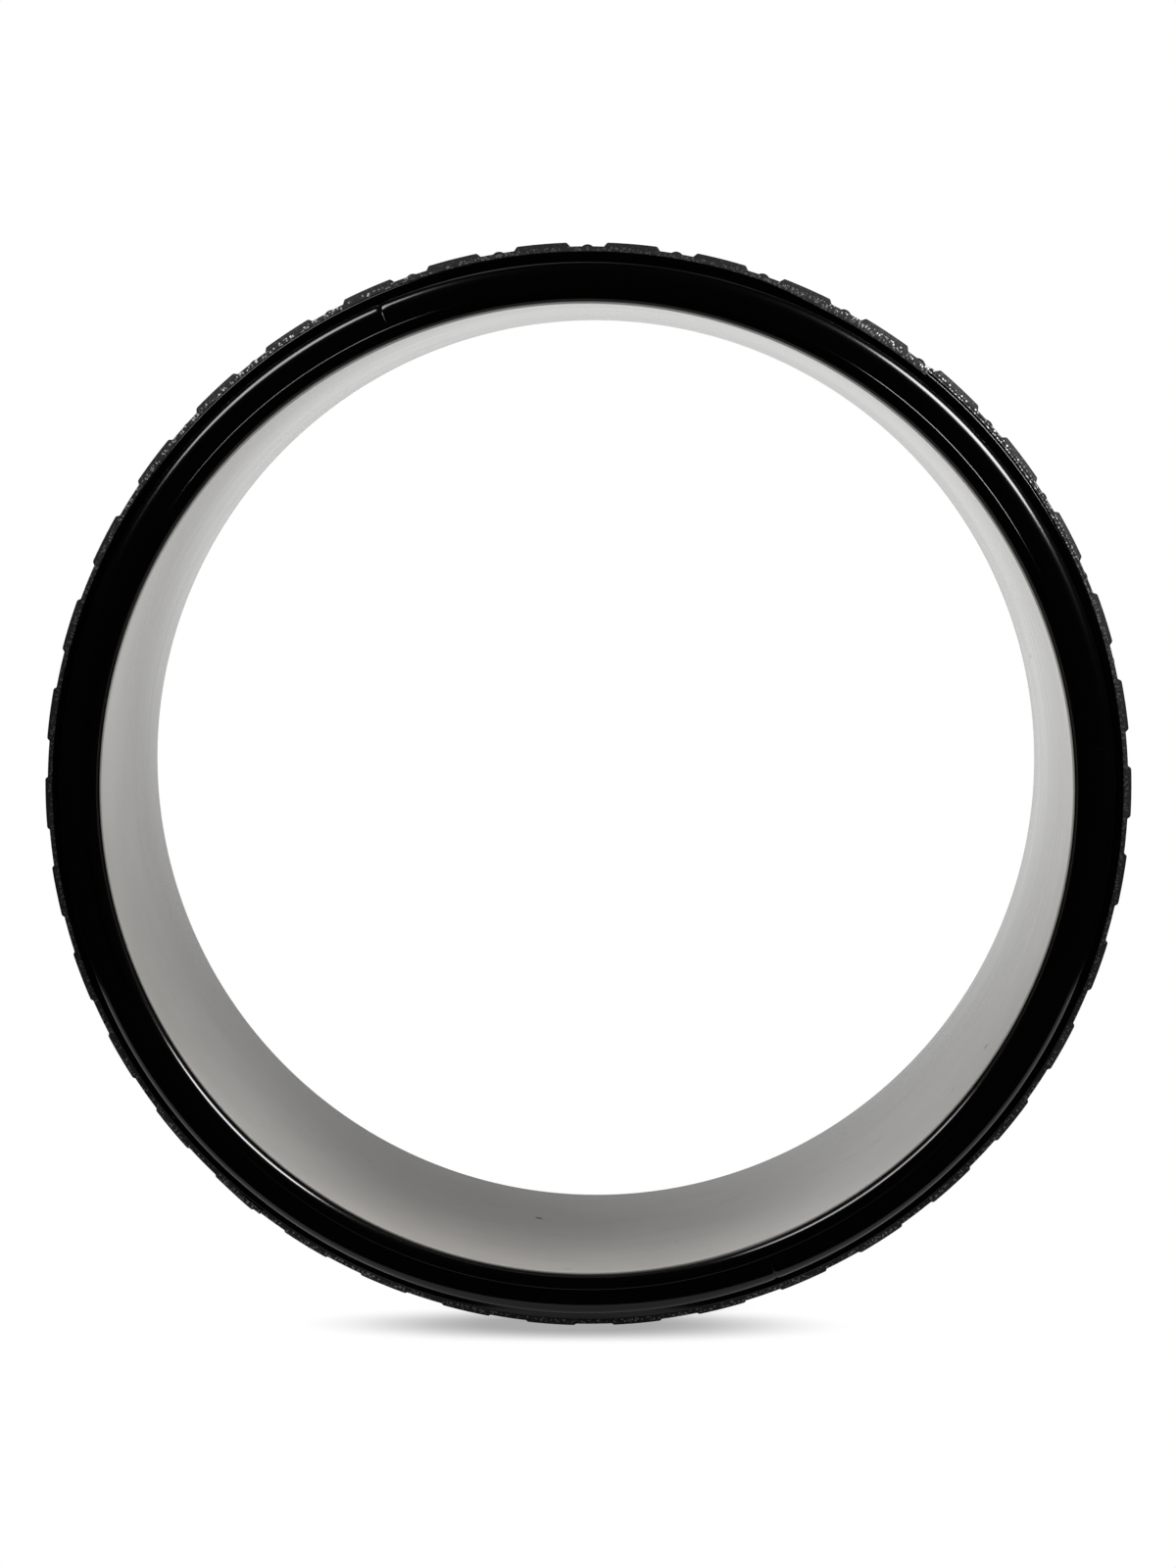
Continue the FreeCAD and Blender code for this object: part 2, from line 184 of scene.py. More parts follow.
class TreadSizes(bpy.types.PropertyGroup):
    """Sizes of the rubber tread."""

    inner_radius: length("Inside", "Radius of the underside", inner_radius("tread_upper"))
    block_radius: length("Block tops", "Radius of the block tops", outer_radius("tread_upper") - BLOCK_DROP)
    half_width: length("Half width", "From the middle to an edge", half_width("tread_upper"))
    blocks: count("Blocks", "Blocks along one strip", 19)
    half_body: length("Half body", "From the middle to a flange", 55.8 * MM)
    lap_radius: length("Lap", "Underside of the laps over the flanges", 161.9 * MM)
    rows: count("Rows", "Rows of blocks across the tread", 5)
    shoulder: length("Shoulder", "Flat edge beside the outer rows of blocks", 4.6 * MM)
    block_length: length("Block length", "Along the rim at the top", 15 * MM)
    block_width: length("Block width", "Across the tread at the top", 14 * MM)
    block_height: length("Block height", "Above the skin", 1.48 * MM)
    block_slope: length("Block slope", "Run of the sloping sides", 1.2 * MM)
    nub_width: length("Nub width", "Across the foot", 4.4 * MM)
    nub_height: length("Nub height", "Above the skin", 1.25 * MM)
    softness: length("Softness", "Rounding of the moulded edges", 0.3 * MM)
    edge_round: length("Edge rounding", "Rounding of the strip's long edges", 0.5 * MM)
    lean: angle("Lean", "How far the strip's front and rear walls lean in", 34)
    seam: angle("Seam", "Angle where the upper strip starts", 50.9)
    seam_to_nub: length("Seam to nub", "From a seam to the first nub", 3.4 * MM)
    seam_gap: length("Seam gap", "Opening at a seam", 0.06 * MM)
    overhang: length("Overhang", "How far the upper strip slips to the front at the seam", 0.85 * MM)
    hang: length("Hang", "How far its front edge hangs over the flange there", 1.1 * MM)
    setback: length("Setback", "How far the lower strip stands back at the seam", 0.8 * MM)
    slip_reach: angle("Slip reach", "Stretch over which a strip slips out of line", 42)
    groove: length("Groove", "Depth of the split in the lower strip's front wall at the seam", 0.5 * MM)
    lift: length("Lift", "How far the far end of a strip stands off", 0.45 * MM)
    upper_lift_reach: angle("Upper lift reach", "Stretch over which the upper strip's end lifts", 6)
    lower_lift_reach: angle("Lower lift reach", "Stretch over which the lower strip's end lifts", 50)
    drift: angle("Drift", "How far both strips are drawn along the rim at the lower seam", 1.58)
    stretch_start: angle("Stretch start", "Where the upper strip starts to stretch, from its start", 60)
    stretch_end: angle("Stretch end", "Where it has taken up the whole drift", 128)
    squeeze_end: angle("Squeeze end", "Where the lower strip is back in place, from its start", 78)
    lag: angle("Lag", "How far the lower strip's blocks lag behind near the upper seam", 0.45)
    lag_start: angle("Lag start", "Where they start to lag, before that seam", 62)
    lag_full: angle("Full lag", "Where they lag in full, before that seam", 36)
    lag_end: angle("Lag end", "Where they start to catch up, before that seam", 14)
    wander: length("Wander", "Unevenness of a strip's edge", 0.35 * MM)


class Finishes(bpy.types.PropertyGroup):
    """Colours and gloss of the materials."""

    drum_grey: colour("Drum", "Satin grey plastic", (0.291, 0.281, 0.263))
    ring_black: colour("Rings", "Glossy black plastic", (0.0005, 0.0005, 0.0005))
    trim_black: colour("Trims", "Glossy black plastic", (0.0005, 0.0005, 0.0005))
    tread_black: colour("Tread", "Grained black rubber", (0.0045, 0.0045, 0.0044))
    core_black: colour("Core", "Matt black plastic inside", (0.02, 0.02, 0.02))
    film_grey: colour("Film", "Bonding film under the tread", (0.06, 0.055, 0.045))
    dust_grey: colour("Dust", "Dust on the black surfaces", (0.12, 0.12, 0.115))
    drum_sheen: colour("Drum sheen", "Tint of the drum's gloss", (1, 0.985, 0.965))
    ring_roughness: share("Ring roughness", "Blur in the gloss of the rings", 0.13)
    trim_roughness: share("Trim roughness", "Blur in the gloss of the trims", 0.18)
    tread_roughness: share("Tread roughness", "Blur in the gloss between the grains", 0.6)


class StageSettings(bpy.types.PropertyGroup):
    """Camera, lamps, table and backdrop."""

    azimuth: angle("Azimuth", "Camera turned to the right of the axis", 1.26)
    elevation: angle("Elevation", "Camera above the axis", 4.47)
    distance: length("Distance", "Camera to the wheel's middle", 1.263)
    focal_pixels: number("Focal length", "In pixels of the picture", 4065)
    middle_right: number("Middle right", "Wheel's middle, pixels right of the picture's", 2.65)
    middle_up: number("Middle up", "Wheel's middle, pixels above the picture's", 8.1)
    lamp_distance: length("Lamp distance", "Softboxes to the wheel's middle", 1.7)
    lamp_tilt: angle("Lamp tilt", "Softboxes away from the axis", 80)
    right_turn: angle("Right turn", "Right softbox round the axis", 41.8)
    left_turn: angle("Left turn", "Left softbox round the axis", 129)
    right_radiance: number("Right lamp", "Brightness of the right softbox", 20)
    left_radiance: number("Left lamp", "Brightness of the left softbox", 8.5)
    right_depth: length("Right depth", "Right softbox across the turn", 0.8)
    right_breadth: length("Right breadth", "Right softbox along the turn", 0.82)
    left_depth: length("Left depth", "Left softbox across the turn", 0.68)
    left_breadth: length("Left breadth", "Left softbox along the turn", 1.06)
    table_side: length("Table side", "From the middle to the table's left and right edges", 0.35)
    table_front: length("Table front", "From the middle to the table's front edge", 0.083)
    table_rear: length("Table rear", "From the middle to the table's rear edge", 0.25)
    shadow_reach: length("Shadow reach", "How far from the wheel its contact shadow is gathered", 0.035)
    shadow_left: length("Shadow left", "Middle of the shadow's oval, left of the wheel's", 0.004)
    shadow_front: length("Shadow front", "Middle of the oval, in front of the wheel's", 0.053)
    shadow_length: length("Shadow length", "Half the oval's length", 0.088)
    shadow_breadth: length("Shadow breadth", "Half the oval's breadth", 0.029)
    contact_side: length("Contact side", "Half the length of the shadow under the tread", 0.055)
    contact_core: length("Contact core", "Half the breadth of that shadow at full depth", 0.045)
    contact_end: length("Contact end", "Half its breadth where it ends", 0.075)
    shadow_dark: share("Shadow", "Brightness of the table in the darkest contact shadow", 0.4)
    table_gloss: share("Table in gloss", "Brightness of the table as glossy surfaces show it", 0.42)
    sheet_low: share("Backdrop, low", "Brightness added low behind the wheel, in gloss", 0.273)
    sheet_high: share("Backdrop, high", "Brightness added up to well above the axis", 0.31)
    sheet_left: share("Backdrop, left", "Brightness added on the left", 0.229)
    sheet_sides: share("Backdrop, sides", "Brightness added towards both sides", 0.12)
    sheet_heart: share("Backdrop, heart", "Brightness added straight behind the wheel", 0.36)
    heart_azimuth: angle("Heart azimuth", "The heart's middle, left of the axis", 1)
    heart_elevation: angle("Heart elevation", "The heart's middle, below the axis", 2.5)
    room: share("Room", "Brightness behind the wheel, round the backdrop", 0.004)
    fill: number("Fill", "Brightness of the soft fill on matt surfaces", 1.2)


# Node helpers

def add_node(tree, kind, **settings):
    node = tree.nodes.new(kind)
    for name, value in settings.items():
        setattr(node, name, value)
    return node


def feed(tree, socket, source):
    """Link a socket to an output, or set its value."""
    if isinstance(source, bpy.types.NodeSocket):
        tree.links.new(source, socket)
    else:
        socket.default_value = source


def feed_named(tree, node, **sources):
    """Feed sockets by name, with an underscore for each space."""
    for name, source in sources.items():
        feed(tree, node.inputs[name.replace("_", " ")], source)
    return node


def feed_all(tree, node, *sources):
    """Feed a node's sockets in their order, and give its first output."""
    for socket, source in zip(node.inputs, sources):
        feed(tree, socket, source)
    return node.outputs[0]


def calculate(tree, operation, *sources):
    return feed_all(tree, add_node(tree, "ShaderNodeMath", operation=operation), *sources)


def times(tree, first, second):
    return calculate(tree, "MULTIPLY", first, second)


def times_plus(tree, value, factor, added):
    return calculate(tree, "MULTIPLY_ADD", value, factor, added)


def ramp(tree, value, low, high, first=0.0, last=1.0):
    """A smooth rise from first to last as value goes from low to high."""
    node = add_node(tree, "ShaderNodeMapRange", interpolation_type="SMOOTHSTEP")
    return feed_all(tree, node, value, low, high, first, last)


def mix_colours(tree, factor, first, second):
    node = add_node(tree, "ShaderNodeMix", data_type="RGBA")
    colours = [socket for socket in node.inputs if socket.type == "RGBA"]
    feed(tree, node.inputs[0], factor)
    for socket, source in zip(colours, (first, second)):
        feed(tree, socket, source if isinstance(source, bpy.types.NodeSocket) else (*source, 1))
    return next(socket for socket in node.outputs if socket.type == "RGBA")


def noise(tree, vector, scale, detail=2.0):
    node = add_node(tree, "ShaderNodeTexNoise")
    return feed_named(tree, node, Vector=vector, Scale=scale, Detail=detail).outputs[0]


def separate(tree, vector):
    return feed_named(tree, add_node(tree, "ShaderNodeSeparateXYZ"), Vector=vector).outputs


def combine(tree, *parts):
    return feed_all(tree, add_node(tree, "ShaderNodeCombineXYZ"), *parts)


def measure(tree, operation, *vectors):
    """A number taken from vectors."""
    node = add_node(tree, "ShaderNodeVectorMath", operation=operation)
    feed_all(tree, node, *vectors)
    return node.outputs["Value"]


def stretched(tree, vector, scale):
    """Coordinates scaled by a different amount along each axis."""
    return feed_named(tree, add_node(tree, "ShaderNodeMapping"), Vector=vector, Scale=scale).outputs[0]


def start_group(name, inputs, outputs):
    """A shader node group with float inputs, after its Vector, and float outputs."""
    tree = bpy.data.node_groups.new(name, "ShaderNodeTree")
    tree.interface.new_socket("Vector", in_out="INPUT", socket_type="NodeSocketVector")
    for socket in inputs:
        tree.interface.new_socket(socket, in_out="INPUT", socket_type="NodeSocketFloat")
    for socket in outputs:
        tree.interface.new_socket(socket, in_out="OUTPUT", socket_type="NodeSocketFloat")
    return tree, add_node(tree, "NodeGroupInput").outputs, add_node(tree, "NodeGroupOutput").inputs


def place_group(tree, make, **sources):
    node = add_node(tree, "ShaderNodeGroup", node_tree=make())
    return feed_named(tree, node, **sources).outputs


def once(make):
    """Build a group or material the first time it is asked for, and reuse it after that."""
    made = []

    def get():
        if not made:
            made.append(make())
        return made[0]

    return get


# Shared surface effects

def scale_for(tree, spacing):
    """Scale of a texture whose features stand that far apart."""
    return calculate(tree, "DIVIDE", 1.0, spacing)


@once
def dust_group():
    """Scattered specks. Spacing and Size are in metres."""
    tree, given, put = start_group("Dust specks", ("Spacing", "Size", "Share"), ("Mask",))
    cells = add_node(tree, "ShaderNodeTexVoronoi", feature="F1")
    feed_named(tree, cells, Vector=given["Vector"], Scale=scale_for(tree, given["Spacing"]))
    chosen = add_node(tree, "ShaderNodeSeparateColor")
    feed(tree, chosen.inputs[0], cells.outputs["Color"])
    kept = calculate(tree, "LESS_THAN", chosen.outputs[0], given["Share"])
    radius = calculate(tree, "DIVIDE", given["Size"], given["Spacing"])
    sized = times(tree, radius, calculate(tree, "ADD", chosen.outputs[1], 0.3))
    speck = ramp(tree, cells.outputs["Distance"], sized, times(tree, sized, 0.4))
    feed(tree, put["Mask"], times(tree, kept, speck))
    return tree


@once
def scuff_group():
    """Fine curved hairlines that come and go. Spacing is in metres."""
    tree, given, put = start_group("Hairline scuffs", ("Spacing", "Width", "Share"), ("Mask",))
    scale = scale_for(tree, given["Spacing"])
    wave = noise(tree, given["Vector"], scale, 1.0)
    off_line = calculate(tree, "ABSOLUTE", calculate(tree, "SUBTRACT", wave, 0.5))
    line = ramp(tree, off_line, given["Width"], 0.0)
    patch = noise(tree, given["Vector"], times(tree, scale, 2.3))
    edge = calculate(tree, "SUBTRACT", 1.0, given["Share"])
    worn = ramp(tree, patch, edge, calculate(tree, "ADD", edge, 0.06))
    feed(tree, put["Mask"], times(tree, line, worn))
    return tree


@once
def mottle_group():
    """Soft clouds of a moulded surface, with its fine texture as a height. Spacings are in metres."""
    tree, given, put = start_group("Moulded mottle", ("Cloud", "Texture"), ("Cloud", "Height"))
    for output, spacing, detail in (("Cloud", "Cloud", 3.0), ("Height", "Texture", 2.0)):
        scale = scale_for(tree, given[spacing])
        feed(tree, put[output], noise(tree, given["Vector"], scale, detail))
    return tree


# Materials

def start_material(name):
    """A material with its node tree, its shader and the piece's own coordinates."""
    material = bpy.data.materials.new(name)
    material.use_nodes = True
    tree = material.node_tree
    shader = tree.nodes["Principled BSDF"]
    place = add_node(tree, "ShaderNodeTexCoord").outputs["Object"]
    return material, tree, shader, place


def add_bump(tree, shader, height, depth, strength=1.0):
    bump = add_node(tree, "ShaderNodeBump")
    feed_named(tree, bump, Height=height, Distance=depth, Strength=strength)
    feed(tree, shader.inputs["Normal"], bump.outputs[0])


def scaled(tone, amount):
    return tuple(channel * amount for channel in tone)


@once
def drum_plastic():
    """Satin grey plastic with faint flow lines round the bore, hairlines and dark specks."""
    finish = bpy.context.scene.wheel_finishes
    grey = finish.drum_grey
    material, tree, shader, place = start_material("drum_plastic")
    mottle = place_group(tree, mottle_group, Vector=place, Cloud=0.03, Texture=0.0007)
    flow = noise(tree, stretched(tree, place, (4, 110, 4)), 3.0, 3.0)
    clouds = ramp(tree, mottle["Cloud"], 0.3, 0.7)
    tone = mix_colours(tree, clouds, scaled(grey, 0.96), scaled(grey, 1.04))
    tone = mix_colours(tree, ramp(tree, flow, 0.45, 0.75, 0, 0.1), tone, scaled(grey, 0.8))
    drawn_out = stretched(tree, place, (1, 2.5, 1))
    scuffs = place_group(tree, scuff_group, Vector=drawn_out, Spacing=0.05, Width=0.007, Share=0.44)
    tone = mix_colours(tree, times(tree, scuffs["Mask"], 0.35), tone, scaled(grey, 0.45))
    specks = place_group(tree, dust_group, Vector=place, Spacing=0.02, Size=0.0012, Share=0.16)
    marks = times(tree, specks["Mask"], 0.85)
    tone = mix_colours(tree, marks, tone, scaled(grey, 0.15))
    satin = ramp(tree, flow, 0.3, 0.7, 0.14, 0.17)
    feed_named(tree, shader, Base_Color=tone, Specular_Tint=(*finish.drum_sheen, 1),
               Roughness=times_plus(tree, marks, 0.9, satin))
    add_bump(tree, shader, mottle["Height"], 0.02 * MM, 0.6)
    return material


def gloss_black(name, tone, roughness):
    """Polished black plastic with a little dust and fine hairlines in the gloss."""
    finish = bpy.context.scene.wheel_finishes
    material, tree, shader, place = start_material(name)
    dust = place_group(tree, dust_group, Vector=place, Spacing=0.009, Size=0.00035, Share=0.1)
    scuffs = place_group(tree, scuff_group, Vector=place, Spacing=0.02, Width=0.004, Share=0.34)
    mottle = place_group(tree, mottle_group, Vector=place, Cloud=0.02, Texture=0.015)
    dusty = times(tree, dust["Mask"], 0.5)
    clouded = ramp(tree, mottle["Cloud"], 0.3, 0.7, roughness * 0.95, roughness * 1.05)
    worn = times_plus(tree, scuffs["Mask"], 0.12, clouded)
    feed_named(tree, shader, Base_Color=mix_colours(tree, dusty, tone, finish.dust_grey),
               Roughness=calculate(tree, "ADD", worn, dusty))
    add_bump(tree, shader, mottle["Height"], 0.004 * MM, 0.5)
    return material


@once
def ring_plastic():
    finish = bpy.context.scene.wheel_finishes
    return gloss_black("ring_plastic", finish.ring_black, finish.ring_roughness)


@once
def trim_plastic():
    finish = bpy.context.scene.wheel_finishes
    return gloss_black("trim_plastic", finish.trim_black, finish.trim_roughness)


@once
def tread_rubber():
    """Black rubber with a pebbled grain, glossier at its tops and with a painted highlight there, a little
    dust, and a greyer bloom in patches.
    """
    finish = bpy.context.scene.wheel_finishes
    sizes = bpy.context.scene.wheel_tread
    black = finish.tread_black
    material, tree, shader, place = start_material("tread_rubber")
    x, y, z = separate(tree, place)
    radius = calculate(tree, "SQRT", times_plus(tree, x, x, times(tree, z, z)))
    arc = times(tree, calculate(tree, "ARCTAN2", z, x), skin_radius(sizes))
    wobble = add_node(tree, "ShaderNodeTexNoise")
    feed_named(tree, wobble, Vector=place, Scale=700.0, Detail=1.0)
    shift = add_node(tree, "ShaderNodeVectorMath", operation="MULTIPLY_ADD")
    unrolled = combine(tree, arc, y, radius)
    shifted = feed_all(tree, shift, wobble.outputs["Color"], (0.0007, 0.0007, 0.0007), unrolled)
    pebbles = add_node(tree, "ShaderNodeTexVoronoi", feature="SMOOTH_F1")
    drawn_out = stretched(tree, shifted, (1, 0.6, 0.6))
    feed_named(tree, pebbles, Vector=drawn_out, Scale=1250.0, Smoothness=0.2)
    bump_top = calculate(tree, "SUBTRACT", 1.0, pebbles.outputs["Distance"])
    mottle = place_group(tree, mottle_group, Vector=place, Cloud=0.012, Texture=0.0004)
    raised = add_node(tree, "ShaderNodeAttribute", attribute_name="raised").outputs["Fac"]
    grained = ramp(tree, raised, 0.26, 0.06, 0.12, 1.0)
    height = times(tree, times_plus(tree, mottle["Height"], 0.25, bump_top), grained)
    blooming = ramp(tree, mottle["Cloud"], 0.35, 0.75, 0, 0.6)
    tone = mix_colours(tree, blooming, black, scaled(black, 2))
    # Painted highlight: the pebbles' tops are made lighter so they look like glints on the grain
    painted_grain_highlight = times(tree, ramp(tree, bump_top, 0.6, 0.85), times(tree, grained, 0.9))
    tone = mix_colours(tree, painted_grain_highlight, tone, scaled(black, 9))
    dust = place_group(tree, dust_group, Vector=place, Spacing=0.004, Size=0.0003, Share=0.12)
    tone = mix_colours(tree, times(tree, dust["Mask"], 0.5), tone, scaled(finish.dust_grey, 5 / 6))
    polish = times(tree, ramp(tree, bump_top, 0.45, 0.85), grained)
    feed_named(tree, shader, Base_Color=tone,
               Roughness=times_plus(tree, polish, -0.33, finish.tread_roughness),
               Specular_IOR_Level=times_plus(tree, polish, 1.3, 0.2))
    add_bump(tree, shader, height, 0.09 * MM)
    return material


@once
def core_plastic():
    """Matt black moulded plastic of the pieces inside."""
    black = bpy.context.scene.wheel_finishes.core_black
    material, tree, shader, place = start_material("core_plastic")
    mottle = place_group(tree, mottle_group, Vector=place, Cloud=0.02, Texture=0.001)
    tone = mix_colours(tree, mottle["Cloud"], scaled(black, 0.8), scaled(black, 1.3))
    feed_named(tree, shader, Base_Color=tone, Roughness=ramp(tree, mottle["Cloud"], 0.3, 0.7, 0.5, 0.6))
    add_bump(tree, shader, mottle["Height"], 0.03 * MM)
    return material


@once
def bond_film():
    """Thin layer of adhesive with streaks from the spreader."""
    grey = bpy.context.scene.wheel_finishes.film_grey
    material, tree, shader, place = start_material("bond_film")
    drawn_out = stretched(tree, place, (1, 6, 1))
    mottle = place_group(tree, mottle_group, Vector=drawn_out, Cloud=0.01, Texture=0.001)
    tone = mix_colours(tree, mottle["Cloud"], scaled(grey, 0.7), scaled(grey, 1.2))
    feed_named(tree, shader, Base_Color=tone, Roughness=ramp(tree, mottle["Cloud"], 0.3, 0.7, 0.4, 0.6))
    return material


# Turned pieces

def rounded_outline(corners, steps=7):
    """Points of a closed outline of corners (radius, y, rounding), each rounded by an arc."""
    points = []
    for number, (radius, y, rounding) in enumerate(corners):
        corner = Vector((radius, y))
        if not rounding:
            points.append(corner)
            continue
        before = (Vector(corners[number - 1][:2]) - corner).normalized()
        after = (Vector(corners[(number + 1) % len(corners)][:2]) - corner).normalized()
        half = before.angle(after) / 2
        centre = corner + (before + after).normalized() * (rounding / math.sin(half))
        tangent = rounding / math.tan(half)
        first = corner + before * tangent - centre
        turn = first.angle_signed(corner + after * tangent - centre)
        for step in range(steps + 1):
            around = -turn * step / steps
            points.append(centre + Matrix.Rotation(around, 2) @ first)
    return np.array(points)


def outline_normals(points):
    """Unit normals of a closed outline, pointing out of it whichever way it turns."""
    along = np.roll(points, -1, axis=0) - np.roll(points, 1, axis=0)
    across = np.column_stack((along[:, 1], -along[:, 0]))
    area = np.sum(points[:, 0] * np.roll(points[:, 1], -1) - points[:, 1] * np.roll(points[:, 0], -1))
    return across / np.linalg.norm(across, axis=1, keepdims=True) * math.copysign(1, area)


def loop_faces(columns, rows, closed=False):
    """Quads between neighbouring columns of points, each column a closed loop."""
    faces = []
    for column in range(columns if closed else columns - 1):
        here, following = column * rows, (column + 1) % columns * rows
        for row in range(rows):
            beside = (row + 1) % rows
            faces.append((here + row, here + beside, following + beside, following + row))
    return faces


def turned_mesh(name, outline, angles, insets=None):
    """An outline turned about the wheel's axis. With insets it is an arc with closed ends."""
    closed = insets is None
    depths = np.zeros(len(angles)) if closed else np.asarray(insets)
    drawn_in = outline[None] - depths[:, None, None] * outline_normals(outline)[None]
    radius, y = drawn_in[..., 0], drawn_in[..., 1]
    turn = np.asarray(angles)[:, None]
    corners = np.stack((radius * np.cos(turn), y, radius * np.sin(turn)), axis=-1)
    columns, rows = radius.shape
    faces = loop_faces(columns, rows, closed)
    if not closed:
        faces.append(tuple(range(rows)))
        faces.append(tuple(range((columns - 1) * rows, columns * rows)))
    mesh = bpy.data.meshes.new(name)
    mesh.from_pydata(corners.reshape(-1, 3).tolist(), [], faces)
    close_shell(mesh)
    return mesh


def close_shell(mesh, crease=math.radians(32)):
    """Merge doubles, close open ends, turn faces outwards, and shade smooth up to the crease angle."""
    shell = bmesh.new()
    shell.from_mesh(mesh)
    bmesh.ops.remove_doubles(shell, verts=shell.verts, dist=1e-6)
    bmesh.ops.holes_fill(shell, edges=[edge for edge in shell.edges if edge.is_boundary], sides=0)
    bmesh.ops.recalc_face_normals(shell, faces=shell.faces)
    shell.to_mesh(mesh)
    shell.free()
    mesh.shade_smooth()
    mesh.set_sharp_from_angle(angle=crease)


def add_object(name, data):
    thing = bpy.data.objects.new(name, data)
    bpy.context.scene.collection.objects.link(thing)
    return thing


def cover(mesh, material):
    """Give a mesh one material."""
    mesh.materials.clear()
    mesh.materials.append(material)


def dress(mesh, material, slot, *nodes):
    """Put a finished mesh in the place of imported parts."""
    piece = add_object(mesh.name, mesh)
    cover(mesh, material)
    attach(piece, BODY)
    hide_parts(*nodes)
    return piece


def full_turn(columns=720):
    return np.arange(columns) * (math.tau / columns)


def facing(side, corners):
    """Corners as they lie at the front or at the rear."""
    return [(radius, side * y, rounding) for radius, y, rounding in corners]


def drum_outline(sizes):
    mouth = [
        (sizes.outer_radius, sizes.half_length, 0),
        (sizes.bore_radius + sizes.bevel, sizes.half_length, sizes.bevel_run / 4),
        (sizes.bore_radius, sizes.half_length - sizes.bevel_run, sizes.bevel_run),
    ]
    return rounded_outline(facing(FRONT, mouth) + facing(REAR, mouth)[::-1])


def trim_middle(sizes):
    """Radius at the middle of a trim."""
    return (sizes.trim_inner_radius + sizes.trim_radius) / 2


def tongue(sizes, width, end_y):
    """Corners of the trim's spine or of its slot, from the seat and back to it."""
    low, high = trim_middle(sizes) - width / 2, trim_middle(sizes) + width / 2
    return [(low, sizes.seat_y, 0), (low, end_y, 0), (high, end_y, 0), (high, sizes.seat_y, 0)]


def ring_outline(sizes, side):
    crown = sizes.lip_radius + sizes.crown_width
    opening = sizes.lip_rise * math.tan(sizes.lip_lean)
    neck = sizes.trim_radius - sizes.neck_step
    collar_inside = outer_radius("inner_drum") + sizes.glue_gap
    small = sizes.edge_round
    corners = [
        (sizes.lip_radius, sizes.drum_end_y, 0),
        (sizes.lip_radius, sizes.crown_y - sizes.lip_rise, 0),
        (sizes.lip_radius + opening, sizes.crown_y, sizes.lip_round),
        (crown, sizes.crown_y, sizes.crown_round),
        (crown, sizes.seat_y, 0),
        *tongue(sizes, sizes.slot_width, sizes.slot_y),
        (neck, sizes.seat_y, small),
        (neck, sizes.flange_front_y, small),
        (sizes.flange_radius, sizes.flange_front_y, sizes.flange_round),
        (sizes.flange_radius, sizes.flange_rear_y, small),
        (sizes.collar_radius, sizes.flange_rear_y, 0),
        (sizes.collar_radius, sizes.collar_end_y, small),
        (collar_inside, sizes.collar_end_y, small),
        (collar_inside, sizes.drum_end_y, 0),
    ]
    return rounded_outline(facing(side, corners), steps=10)


def trim_outline(sizes, side):
    small = sizes.edge_round
    corners = [
        (sizes.trim_inner_radius, sizes.seat_y, small),
        (sizes.trim_inner_radius, sizes.face_y, sizes.trim_edge_round),
        (sizes.trim_radius, sizes.face_y, sizes.trim_round),
        (sizes.trim_radius, sizes.seat_y, small),
        *tongue(sizes, sizes.spine_width, sizes.spine_end_y)[::-1],
    ]
    return rounded_outline(facing(side, corners), steps=14)


def trim_stations(sizes, start, finish):
    """Angles along a trim half, closer together at its ends, and how far its section draws in at each."""
    middle = trim_middle(sizes)
    clear = sizes.joint_gap / 2 / middle
    start, finish = start + clear, finish - clear
    near_end = sizes.pinch_length / middle * np.linspace(0, 1, 12) ** 2
    between = np.linspace(start + near_end[-1], finish - near_end[-1], 361)[1:-1]
    angles = np.concatenate((start + near_end, between, (finish - near_end)[::-1]))
    from_end = np.minimum(angles - start, finish - angles) * middle
    closeness = np.clip(1 - from_end / sizes.pinch_length, 0, 1)
    return angles, sizes.pinch_depth * (0.6 * closeness ** 2 + 0.4 * closeness ** 8)


# Tread

def soft_least(first, second, softness):
    """The lesser of two heights, blended where they are close."""
    blend = np.clip(softness - np.abs(first - second), 0, None) / softness
    return np.minimum(first, second) - blend ** 2 * softness / 4


def soft_most(first, second, softness):
    return -soft_least(-first, -second, softness)


def ramp_lines(top, slope, softness):
    """Distances at which a sloping side needs a line of points, from above its top to past its foot."""
    foot = top + slope
    return [top - 1.6 * softness, top - 0.4 * softness, top + 0.6 * softness, top + slope / 2,
            foot - 0.6 * softness, foot + 0.4 * softness, foot + 1.6 * softness]


def nub_lines(width):
    return list(np.linspace(-0.58, 0.58, 9) * width)


def row_pitch(sizes):
    """Row to row across the tread."""
    foot = sizes.block_width + 2 * sizes.block_slope
    return (2 * (sizes.half_width - sizes.shoulder) - foot) / (sizes.rows - 1)


def block_pitch(sizes):
    """Block to block along the rim."""
    return sizes.block_radius * math.pi / sizes.blocks


def skin_radius(sizes):
    """Radius of the tread between its blocks."""
    return sizes.block_radius - sizes.block_height


def brow(sizes):
    """Where a strip's top begins to round over into its leaning wall, and the y and z where it meets it."""
    turn = math.pi / 2 - sizes.lean
    run = sizes.edge_round * math.sin(turn)
    end_z = skin_radius(sizes) - sizes.edge_round * (1 - math.cos(turn))
    start = sizes.half_width - (end_z - sizes.lap_radius) * math.tan(sizes.lean) - run
    return start, start + run, end_z


